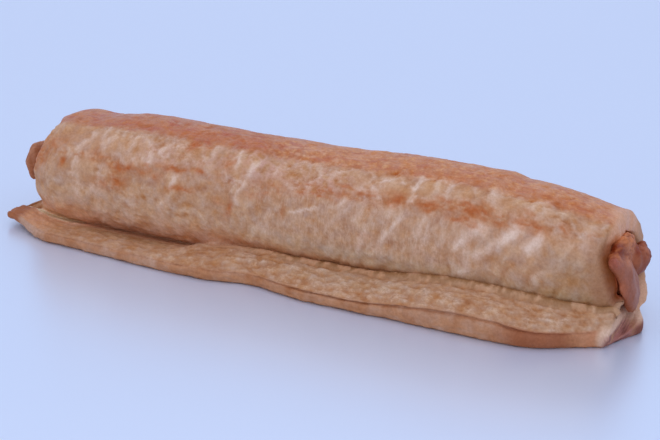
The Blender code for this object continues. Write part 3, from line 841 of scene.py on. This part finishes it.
def roll_look(look, surface, p):
    """The roll: a well baked crest, a paler front and back, and the blisters, streaks and browned marks, with
    a painted highlight on the pale streaks and painted light and shade low on the front and along the seam.
    """
    lay = look.lay
    u, angle, arc = surface.u, surface.angle, surface.arc
    for k, values in enumerate((CRUST_RED, CRUST_GREEN, CRUST_BLUE)):
        look.colour[..., k] = np.interp(angle, CRUST_ANGLES, values)
    look.move((8, 8, 4), p.crest * (smooth(0.42, 0.50, u) - 0.5))
    tone = 0.50 * p.net * (1 - 0.7 * p.slanted) * smooth(-0.15, 0.30, u)
    tone = (tone + (0.20 + 0.18 * p.slanted) * p.strands) * (0.3 + p.lively)
    tone = tone + 0.42 * p.patch + 0.30 * p.mottle + 0.30 * p.fine * smooth(0.05, 0.35, u) + p.threads
    tone = (tone + 0.2 * p.slanted * p.hairs) * (1 - 0.45 * p.crest) * (1 - 0.3 * p.slanted)
    look.move(PALER, tone)
    look.move(COOLER, 0.5 * np.roll(p.patch, 40, axis=0) + 0.5 * np.roll(p.mottle, 23, axis=0))

    red = p.crest * smooth(0.2, 1.6, even(layered(p.s / 6, p.t / 1.8, 7.0, 10, 2)))
    lay(REDDENED, red * (0.75 - 0.40 * smooth(0.40, 0.50, u)))
    edge = smooth(0.5, 1.6, even(layered(p.s / 2.4, p.t / 3.0, 9.0, 15, 2)))
    edge = edge * smooth(98, 110, angle) * p.crest
    lay(CREST_EDGE, 0.6 * edge * band(u, 0.08, 0.16, 0.45, 0.62))
    yellow = p.crest * smooth(0.8, 1.8, even(layered(p.s / 1.6, p.t / 0.9, 4.0, 16, 2)))
    lay(GOLDEN, 0.55 * yellow * smooth(0.36, 0.46, u))
    pink = 0.65 * p.spot(0.42, 132, 11, 4) + 0.55 * p.spot(0.55, 138, 12, 3) + 0.40 * p.spot(0.27, 141, 12, 4)
    lay(PINKISH, pink * smooth(-0.8, 1.2, p.net))
    lay(DOME_TAN, 1.6 * p.domes * (1 - p.crest))
    # Blister rims and pale streaks: stretched dough together with a painted highlight.
    lay(STRETCHED_AND_SHEEN, 0.9 * p.outlines * smooth(-1.0, 0.8, p.mottle) * (1 - 0.6 * p.crest))
    lay(STRETCHED_AND_SHEEN, 1.1 * p.strokes * (0.85 + 0.15 * p.strands))
    lay(BROWNED, 1.1 * p.marks)

    # The seam with the flange, darkened by painted shade together with browning; the wall beside the mouth,
    # darkened near the right end and by painted shade with browning; and painted shade under the roll's
    # front.
    above_seam = (np.degrees(seam_angle(u)) - angle) * AROUND_MM
    seam = arc * smooth(0.34, 0.42, u) * smooth(2.6, 0.4, above_seam)
    lay(SEAM_BROWN_AND_SHADE, seam * (0.6 - 0.25 * smooth(0.75, 0.9, u)))
    look.move((-13, -12, -14), arc * smooth(148, 165, angle) * smooth(0.87, 0.93, u))
    # Painted shade with browning where the wall curls into the mouth.
    lay(MOUTH_BROWN_AND_SHADE, 0.6 * arc * smooth(120, 150, angle) * smooth(0.968, 0.992, u))
    look.move((-4, -4, -4), arc * band(angle, 112, 122, 194, 202))
    # Painted shade under the roll's front.
    look.move((-13, -3, 0), arc * smooth(184, 203, angle) * smooth(0.30, 0.65, u))


def flange_look(look, surface, p):
    """The flange: crumbly and tan on top, browner along the rim and darkest at its tips, with painted shade
    in the groove and beside it, and painted light at its left end under the roll's overhang.
    """
    lay = look.lay
    u, share, top, rim, groove = surface.u, surface.share, surface.top, surface.rim, surface.groove
    flange = Look(u.shape, FLANGE_TAN)
    flange.move(PALER, 0.5 * p.crumb + 0.4 * p.layers + 0.3 * p.fine + 0.4 * p.patch)
    flange.move(COOLER, 0.5 * p.mottle)
    lay(flange.colour, surface.flange)

    # The top: paler in the middle, painted shade next to the groove from the middle on, and pale to tan at
    # the left end, its pale partly painted light in the roll's overhang shadow.
    look.move((4, 12, 16), top * band(share, 0.12, 0.3, 0.6, 0.85) * hump(u, 0.6, 0.14))
    patchy = smooth(-1.4, 0.5, p.mottle + 0.6 * p.patch)
    # Painted shade below the seam, on the flange's top next to the groove, from the middle on.
    lay((134, 100, 74), top * smooth(0.26, 0.04, share) * smooth(0.40, 0.48, u) * 0.9 * patchy)
    # Painted light: the pale tints near the groove and at the left end lighten the flange's top in the roll's
    # overhang shadow.
    lay((236, 204, 188), top * smooth(0.15, 0.06, u) * smooth(0.55, 0.1, share))
    lay((180, 152, 132), top * band(u, 0.10, 0.14, 0.34, 0.42) * smooth(0.3, 0.1, share))
    lay((146, 118, 94), top * band(u, 0.10, 0.14, 0.27, 0.31) * hump(share, 0.4, 0.2) * 0.6)
    lay((184, 136, 108), top * smooth(0.11, 0.04, u) * smooth(0.2, 0.6, share) * 0.85)
    # Painted light at the very left end, in the roll's overhang shadow.
    lay((196, 164, 142), top * smooth(0.07, 0.03, u) * smooth(0.45, 0.15, share) * 0.8)

    # The rim: its leaves, then the left end and the browned stretch near the right end.
    rim_look = Look(u.shape, RIM_BROWN)
    rim_look.move(PALER, 0.6 * p.patch + 0.4 * p.crumb)
    lay(rim_look.colour, 0.9 * rim)
    lay((172, 126, 98), rim * 0.6 * smooth(-0.2, 1.0, p.leaf))
    lay((176, 150, 142), rim * smooth(0.09, 0.04, u) * 0.7)
    lay((136, 84, 64), rim * band(u, 0.84, 0.90, 0.94, 0.97) * 0.8)
    lay((172, 122, 98), rim * smooth(0.95, 0.98, u) * 0.8)
    lay((148, 96, 72), (top + rim) * smooth(0.018, 0.002, u))

    # The groove, open at the left end and painted pale there as painted light in the roll's overhang shadow,
    # with painted shade from the middle on, and the underside.
    lay((178, 144, 122), groove * 0.8)
    lay((232, 204, 186), (groove + top * smooth(0.40, 0.15, share)) * smooth(0.16, 0.05, u))
    lay((132, 98, 72), groove * smooth(0.38, 0.48, u) * 0.95 * patchy)
    lay((150, 106, 78), surface.base * 0.6)
    lay(END_TAN, np.clip(surface.right_end + surface.left_end + surface.inside, 0, 1) * 0.8)


def right_end_look(look, surface, p):
    """The cut right end: the wall darkens towards the mouth as painted shade with browning, the slit inside
    the mouth is painted light, and the flange's end is purplish brown.
    """
    lay = look.lay
    angle = surface.angle
    x, y, z = (surface.place[..., k] * 1000 for k in range(3))
    radius = np.hypot(surface.off_y, surface.off_z) * 1000
    end = smooth(73.5, 78.5, x)
    front = end * band(angle, 126, 150, 206, 222)
    over = end * band(angle, 20, 50, 128, 155)
    # Painted shade with browning: the front wall darkens as it curls in towards the mouth.
    lay((150, 112, 90), front * smooth(15.4, 14.0, radius))
    lay((124, 78, 56), front * smooth(14.2, 12.8, radius))
    lay((114, 64, 46), front * smooth(12.6, 10.8, radius) * smooth(140, 190, angle))
    # Painted light: the narrow slit deep in the mouth is made bright against its deep shade.
    lay((224, 140, 108), front * smooth(10.9, 10.1, radius) * hump(angle, 185, 25))
    lay((192, 150, 128), over * smooth(14.0, 12.8, radius))
    lay((178, 122, 92), over * smooth(12.0, 11.2, radius) * smooth(112, 124, angle))
    lay((170, 112, 82), over * smooth(9.8, 9.0, radius))
    lay((122, 62, 42), over * hump(angle, 147, 11) * hump(radius, 11.4, 1.2) * 1.2)
    lay((188, 152, 134), end * smooth(-20, -45, angle) * smooth(13.0, 11.5, radius))

    # Under the mouth: pale dough, and the purplish cut below it, right of the flange's corner.
    below = smooth(79.5, 81.5, x) * smooth(200, 212, angle) * surface.right_side
    lay((176, 146, 128), below)
    lay((196, 170, 158), below * smooth(5.8, 4.2, z))
    cut = below * smooth(3.4, 2.4, z) * smooth(-13.5, -10.5, y)
    lay((152, 108, 108), cut)
    lay((112, 78, 78), cut * smooth(0.0, 1.2, p.mottle))
    lay((160, 124, 104), cut * smooth(-0.4, -1.4, p.mottle))
    lay((116, 74, 68), below * smooth(2.8, 1.8, z) * smooth(84.6, 86.0, x))


def line_masks(surface, p):
    """Where the crust's thin lines lie: on the upper front, above the seam, and on the flange's top."""
    u, angle, arc = surface.u, surface.angle, surface.arc
    webbed = arc * band(angle, 112, 122, 150, 166) * p.lively * band(u, 0.20, 0.34, 0.60, 0.70)
    grooved = arc * band(angle, 146, 156, 190, 206) * band(u, 0.38, 0.48, 0.70, 0.93)
    crumbed = surface.top * band(u, 0.36, 0.48, 0.93, 0.97) * smooth(0.2, 0.4, surface.share)
    return np.stack([webbed, grooved, crumbed * smooth(-0.5, 0.8, p.crumb)], axis=-1)


def make_pastry():
    surface = Surface()
    surface.relax_ends()
    surface.curl_right_end()
    surface.round_left_end()
    p = Patterns(surface)
    surface.push(relief_mm(surface, p))
    look = Look(surface.u.shape)
    roll_look(look, surface, p)
    flange_look(look, surface, p)
    right_end_look(look, surface, p)

    mesh = closed_grid("baked_pastry", np.clip(surface.place, CAD_LOW, CAD_HIGH))
    gloss = surface.arc * np.clip(0.25 + 0.25 * p.net + 0.6 * p.strokes + 0.2 * p.crest, 0, 1)
    store(mesh, "tint", "FLOAT_COLOR", surface_colour(look.colour))
    store(mesh, "gloss", "FLOAT", gloss)
    store(mesh, "lines", "FLOAT_COLOR", line_masks(surface, p))
    return add_object("baked_pastry", mesh)


# -------- materials


class Food:
    """A food's material: the stored tint, broken up by specks finer than the mesh, and a fine bump."""

    def __init__(self, name, speck_low, speck_high, roughness, bump_mm):
        self.material = bpy.data.materials.new(name)
        self.material.use_nodes = True
        self.nodes, self.links = self.material.node_tree.nodes, self.material.node_tree.links
        self.shader = self.nodes["Principled BSDF"]
        self.place = self.add("TexCoord").outputs["Object"]

        specks = self.ramp(self.noise(cells_per_mm=1.6, detail=3), ((0.3, speck_low), (0.7, speck_high)))
        tint = self.stored("tint").outputs["Color"]
        self.finish("Base Color", self.mix("MULTIPLY", 1.0, tint, specks))
        streaks = self.noise(cells_per_mm=0.7, detail=3, stretch=(1.0, 0.4, 0.4))
        self.finish("Roughness", self.remap(streaks, (0.25, 0.75), roughness))
        height = self.noise(cells_per_mm=1.1, detail=4)
        bumps = self.add("Bump", Strength=0.6, Distance=bump_mm * 0.001, Height=height)
        self.finish("Normal", bumps.outputs["Normal"])

    def feed(self, node, name, value):
        """Joins an input to another node's output, or sets it to a value."""
        if isinstance(value, bpy.types.NodeSocket):
            self.links.new(value, node.inputs[name])
        else:
            node.inputs[name].default_value = value

    def finish(self, name, value):
        """Sets one property of the surface."""
        self.feed(self.shader, name, value)

    def add(self, kind, **inputs):
        node = self.nodes.new("ShaderNode" + kind)
        for name, value in inputs.items():
            self.feed(node, name, value)
        return node

    def stored(self, name):
        node = self.add("Attribute")
        node.attribute_name = name
        return node

    def noise(self, cells_per_mm, detail, stretch=(1, 1, 1)):
        """Noise in the piece's own coordinates, from 0 to 1."""
        place = self.add("Mapping", Scale=stretch, Vector=self.place).outputs["Vector"]
        node = self.add("TexNoise", Vector=place, Scale=cells_per_mm * 1000, Detail=detail, Roughness=0.6)
        return node.outputs["Fac"]

    def ramp(self, value, stops):
        """A colour that changes with a value. stops are pairs of a place on the ramp and its colour."""
        node = self.add("ValToRGB", Fac=value)
        elements = node.color_ramp.elements
        elements.remove(elements[1])
        for k, (place, colour) in enumerate(stops):
            element = elements.new(place) if k else elements[0]
            element.position, element.color = place, (*colour, 1)
        return node.outputs["Color"]

    def remap(self, value, source, target):
        node = self.add("MapRange", Value=value)
        for name, number in zip(("From Min", "From Max", "To Min", "To Max"), (*source, *target)):
            self.feed(node, name, number)
        return node.outputs["Result"]

    def mix(self, blend, factor, under, over):
        node = self.add("Mix")
        node.data_type = "RGBA"
        node.blend_type = blend
        self.feed(node, "Factor", factor)
        self.feed(node, "A", under)
        self.feed(node, "B", over)
        return node.outputs["Result"]

    def lay_lines(self, mask, colour, strength, cells_per_mm, width, stretch=(1, 1, 1)):
        """Draws thin wavy lines of one colour over the rest, where the noise passes its middle value."""
        under = self.shader.inputs["Base Color"].links[0].from_socket
        clear, full = (0, 0, 0), (strength,) * 3
        waves = self.noise(cells_per_mm, 3, stretch)
        line = self.ramp(waves, ((0.5 - width, clear), (0.5, full), (0.5 + width, clear)))
        amount = self.add("Math")
        amount.operation = "MULTIPLY"
        self.feed(amount, 0, line)
        self.feed(amount, 1, mask)
        tint = (*surface_colour(colour), 1)
        self.finish("Base Color", self.mix("MIX", amount.outputs["Value"], under, tint))


# The crust's thin lines: mask, colour, strength, cells per mm, half-width in noise, stretch along x, y and z.
WEBBED, GROOVED, CRUMBED = 0, 1, 2
CRUST_LINES = (
    (WEBBED, (212, 178, 168), 0.28, 0.60, 0.045, (0.6, 1.0, 1.0)),
    (WEBBED, (160, 100, 82), 0.30, 0.50, 0.040, (0.5, 1.0, 1.0)),
    (GROOVED, (208, 186, 176), 0.24, 0.60, 0.060, (1.0, 0.35, 0.35)),
    (GROOVED, (148, 112, 90), 0.22, 0.75, 0.050, (1.0, 0.30, 0.30)),
    (CRUMBED, (206, 182, 168), 0.35, 0.45, 0.060, (0.7, 1.0, 1.0)),
    (CRUMBED, (136, 94, 68), 0.35, 0.60, 0.050, (0.7, 1.0, 1.0)),
)


def crust_material():
    food = Food("crust", (0.90, 0.86, 0.82), (1.10, 1.13, 1.18), (0.45, 0.68), 0.25)
    masks = food.add("SeparateColor", Color=food.stored("lines").outputs["Color"])
    for mask, *line in CRUST_LINES:
        food.lay_lines(masks.outputs[mask], *line)
    gloss = food.stored("gloss").outputs["Fac"]
    food.finish("Coat Weight", food.remap(gloss, (0, 1), (0, 0.45)))
    food.finish("Coat Roughness", 0.25)
    food.finish("Specular IOR Level", 0.22)
    return food.material


def filling_material():
    food = Food("filling", (0.88, 0.84, 0.80), (1.10, 1.12, 1.15), (0.35, 0.60), 0.20)
    food.finish("Specular IOR Level", 0.3)
    return food.material


# -------- the filling
# Positions are in millimetres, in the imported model's frame.

FILLING_BROWN = (136, 86, 68)
FILLING_CELL = 0.0005

# The brow over the tongue, drawn out: centre, radii and move.
BROW_MOVES = (
    ((80.5, -3.5, 18.6), (3.0, 3.6, 3.4), (-0.6, -4.2, 0.4)),
    ((80.0, 0.5, 21.5), (2.5, 3.6, 2.6), (0.6, -3.6, 0.5)),
    ((80.0, 4.0, 21.8), (2.5, 3.0, 2.0), (0.3, 0.6, 0.8)),
)

# Tints of the filling at the mouth: colour as seen, centre, radii, strength.
FILLING_TINTS = (
    ((190, 122, 82), (80.5, 3.5, 20.8), (5, 5.5, 3.6), 1.5),
    ((168, 106, 76), (81.5, 6.0, 15.5), (3, 3, 4), 0.8),
    ((134, 84, 70), (82.5, -2.0, 14.0), (5, 4.5, 8), 1.5),
    ((146, 98, 84), (83.5, 1.0, 11.0), (3, 3, 6), 0.9),
    ((172, 112, 84), (82.6, -0.5, 17.6), (2.5, 2.4, 1.5), 1.1),
    ((120, 66, 56), (81.5, 12.0, 14.5), (4, 4.0, 6), 1.3),
    ((158, 98, 76), (82.5, 11.0, 16.5), (2, 1.6, 2.5), 1.0),
    ((116, 56, 38), (80.0, -3.0, 21.0), (2.5, 1.8, 1.5), 1.4),
    ((128, 64, 48), (82.0, 7.0, 18.0), (2, 1.4, 1.8), 1.2),
    ((146, 86, 76), (80.5, -7.0, 19.4), (3, 2.6, 2.0), 1.2),
    ((170, 104, 82), (80.6, -4.6, 11.6), (2.4, 1.8, 4.5), 1.3),
)


def read_rows(parts, field, size, kind=np.float32):
    """One field of a mesh's points or edges, a row of that size for each."""
    found = np.empty(len(parts) * size, kind)
    parts.foreach_get(field, found)
    return found.reshape(-1, size)


def set_points(mesh, places):
    mesh.vertices.foreach_set("co", places.astype(np.float32).ravel())
    mesh.update()


def relax(mesh, places, times=5, hold=0.3):
    """Moves each point towards the middle of its neighbours. hold is how far each keeps its own place."""
    one, other = read_rows(mesh.edges, "vertices", 2, np.int32).T
    count = np.bincount(np.concatenate([one, other]), minlength=len(places))[:, None]
    for _ in range(times):
        total = np.zeros_like(places)
        for k in range(3):
            total[:, k] += np.bincount(one, places[other, k], len(places))
            total[:, k] += np.bincount(other, places[one, k], len(places))
        places = places * hold + total / np.maximum(count, 1) * (1 - hold)
    return places


def ball(places, centre, radii):
    return np.exp(-(((places - np.array(centre)) / np.array(radii)) ** 2).sum(axis=-1))


def evenly_meshed(solid, name):
    """The solid's own shape, with small faces of one size."""
    piece = add_object(name, solid.data.copy())
    piece.data.materials.clear()
    remesh = piece.modifiers.new("even", "REMESH")
    remesh.mode = "VOXEL"
    remesh.voxel_size = FILLING_CELL
    graph = bpy.context.evaluated_depsgraph_get()
    piece.data = bpy.data.meshes.new_from_object(piece.evaluated_get(graph))
    piece.data.name = name
    piece.modifiers.clear()
    return piece


def make_filling():
    piece = evenly_meshed(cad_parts["filling"], "melted_filling")
    mesh = piece.data
    places = relax(mesh, read_rows(mesh.vertices, "co", 3).astype(float))
    for centre, radii, move in BROW_MOVES:
        places = places + ball(places * 1000, centre, radii)[:, None] * np.array(move) * 0.001
    set_points(mesh, places)

    mm = places * 1000
    x, y, z = mm.T
    melted = np.clip(smooth(17.0, 19.5, z) + smooth(76, 70, x), 0, 1)
    brow = smooth(16.5, 19.0, z + 0.3 * y) * smooth(70, 76, x)
    wrinkle = 1 - 2.2 * np.abs(layered(x / 2.2, y / 2.0, z / 3.5, 31, 2))
    pit = smooth(0.45, 0.9, layered(x / 1.6, y / 1.6, z / 1.6, 32, 2)) * smooth(76, 70, x)
    crease = smooth(0.22, 0.0, np.abs(layered(x / 2.6, y / 2.2, z / 2.6, 35, 2))) * brow
    bulge = layered(x / 3.5, y / 3.5, z / 3.5, 33, 2) + 1.2 * brow * layered(x / 1.8, y / 1.8, z / 1.8, 36, 2)
    fine = layered(x / 0.9, y / 0.9, z / 0.9, 34, 2)
    push = 0.10 * wrinkle * (0.3 + 0.7 * melted) + 0.18 * bulge + 0.05 * fine - 0.45 * pit - 0.25 * crease
    places = places + read_rows(mesh.vertex_normals, "vector", 3) * push[:, None] * 0.001
    set_points(mesh, np.clip(places, CAD_LOW, CAD_HIGH))
    mesh.shade_smooth()

    look = Look((len(mm),), surface_colour(FILLING_BROWN))
    for tint, centre, radii, strength in FILLING_TINTS:
        look.lay(surface_colour(tint), ball(mm, centre, radii) * strength)
    for tint, amount in (
        ((178, 112, 74), melted * smooth(0.1, 0.9, bulge + 0.4 * fine) * 0.5),
        ((96, 46, 34), pit),
        ((124, 60, 42), 0.75 * crease),
        ((116, 62, 46), smooth(0.0, -0.8, wrinkle) * 0.6 * melted),
        ((164, 116, 94), smooth(-80.0, -82.5, x) * 0.8),
        ((104, 64, 52), smooth(-84.2, -85.4, x) * 0.8),
    ):
        look.lay(surface_colour(tint), amount)
    store(mesh, "tint", "FLOAT_COLOR", look.colour)
    return piece


# -------- camera, floor and light

CAMERA_AZIMUTH = math.radians(27.58)
CAMERA_ELEVATION = math.radians(19.08)
CAMERA_ROLL = math.radians(-1.105)
CAMERA_TARGET = Vector((0.00492, 0.0, 0.01358))
CAMERA_DISTANCE = 0.430
LENS_MM = 94.2
SENSOR_MM = 36.0
NEAREST = 0.02
FLOOR_HALF = 3.0
FLOOR_COLOUR = (0.815, 0.84, 0.91)
FLOOR_GLAZE = (("Roughness", 0.30), ("IOR", 2.3), ("Metallic", 0.30))
SKY_COLOUR = (0.70, 0.83, 1.17)
SKY_STRENGTH = 0.76
LAMP_COLOUR = (0.78, 0.88, 1.0)

# The lamps: name, the direction they shine from, the width of their light in degrees, strength.
LAMPS = (("window", (-0.25, 0.45, 0.85), 60, 0.35), ("fill", (0.10, -0.60, 0.55), 80, 0.45))


def make_camera():
    cos, sin, level = math.cos(CAMERA_AZIMUTH), math.sin(CAMERA_AZIMUTH), math.cos(CAMERA_ELEVATION)
    right = Vector((cos, sin, 0))
    back = Vector((sin * level, -cos * level, math.sin(CAMERA_ELEVATION)))
    up = back.cross(right)
    turned = Matrix.Rotation(-CAMERA_ROLL, 3, back)
    turn = Matrix((turned @ right, turned @ up, back)).transposed().to_4x4()
    data = bpy.data.cameras.new("camera")
    data.lens = LENS_MM
    data.sensor_width = SENSOR_MM
    data.clip_start = NEAREST
    camera = add_object("camera", data)
    camera.matrix_world = Matrix.Translation(CAMERA_TARGET + CAMERA_DISTANCE * back) @ turn
    bpy.context.scene.camera = camera


def make_floor():
    """A pale glazed table top."""
    half = FLOOR_HALF
    mesh = bpy.data.meshes.new("floor")
    corners = [(-half, -half, 0), (half, -half, 0), (half, half, 0), (-half, half, 0)]
    mesh.from_pydata(corners, [], [(0, 1, 2, 3)])
    floor = add_object("floor", mesh)
    table = bpy.data.materials.new("floor")
    table.use_nodes = True
    shader = table.node_tree.nodes["Principled BSDF"]
    shader.inputs["Base Color"].default_value = (*FLOOR_COLOUR, 1)
    for name, value in FLOOR_GLAZE:
        shader.inputs[name].default_value = value
    mesh.materials.append(table)
    floor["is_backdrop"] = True


def make_light():
    world = bpy.data.worlds.new("world")
    world.use_nodes = True
    sky = world.node_tree.nodes["Background"]
    sky.inputs["Color"].default_value = (*SKY_COLOUR, 1)
    sky.inputs["Strength"].default_value = SKY_STRENGTH
    bpy.context.scene.world = world
    for name, place, width, strength in LAMPS:
        lamp = bpy.data.lights.new(name, "SUN")
        lamp.angle = math.radians(width)
        lamp.energy = strength
        lamp.color = LAMP_COLOUR
        light = add_object(name, lamp)
        light.location = place
        light.rotation_euler = (-Vector(place)).to_track_quat("-Z", "Y").to_euler()
    bpy.context.scene.view_settings.view_transform = "Standard"


pastry = make_pastry()
pastry.data.materials.append(crust_material())
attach(pastry, "root")
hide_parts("pastry")
filling = make_filling()
filling.data.materials.append(filling_material())
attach(filling, "root")
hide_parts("filling")
make_floor()
make_light()
make_camera()
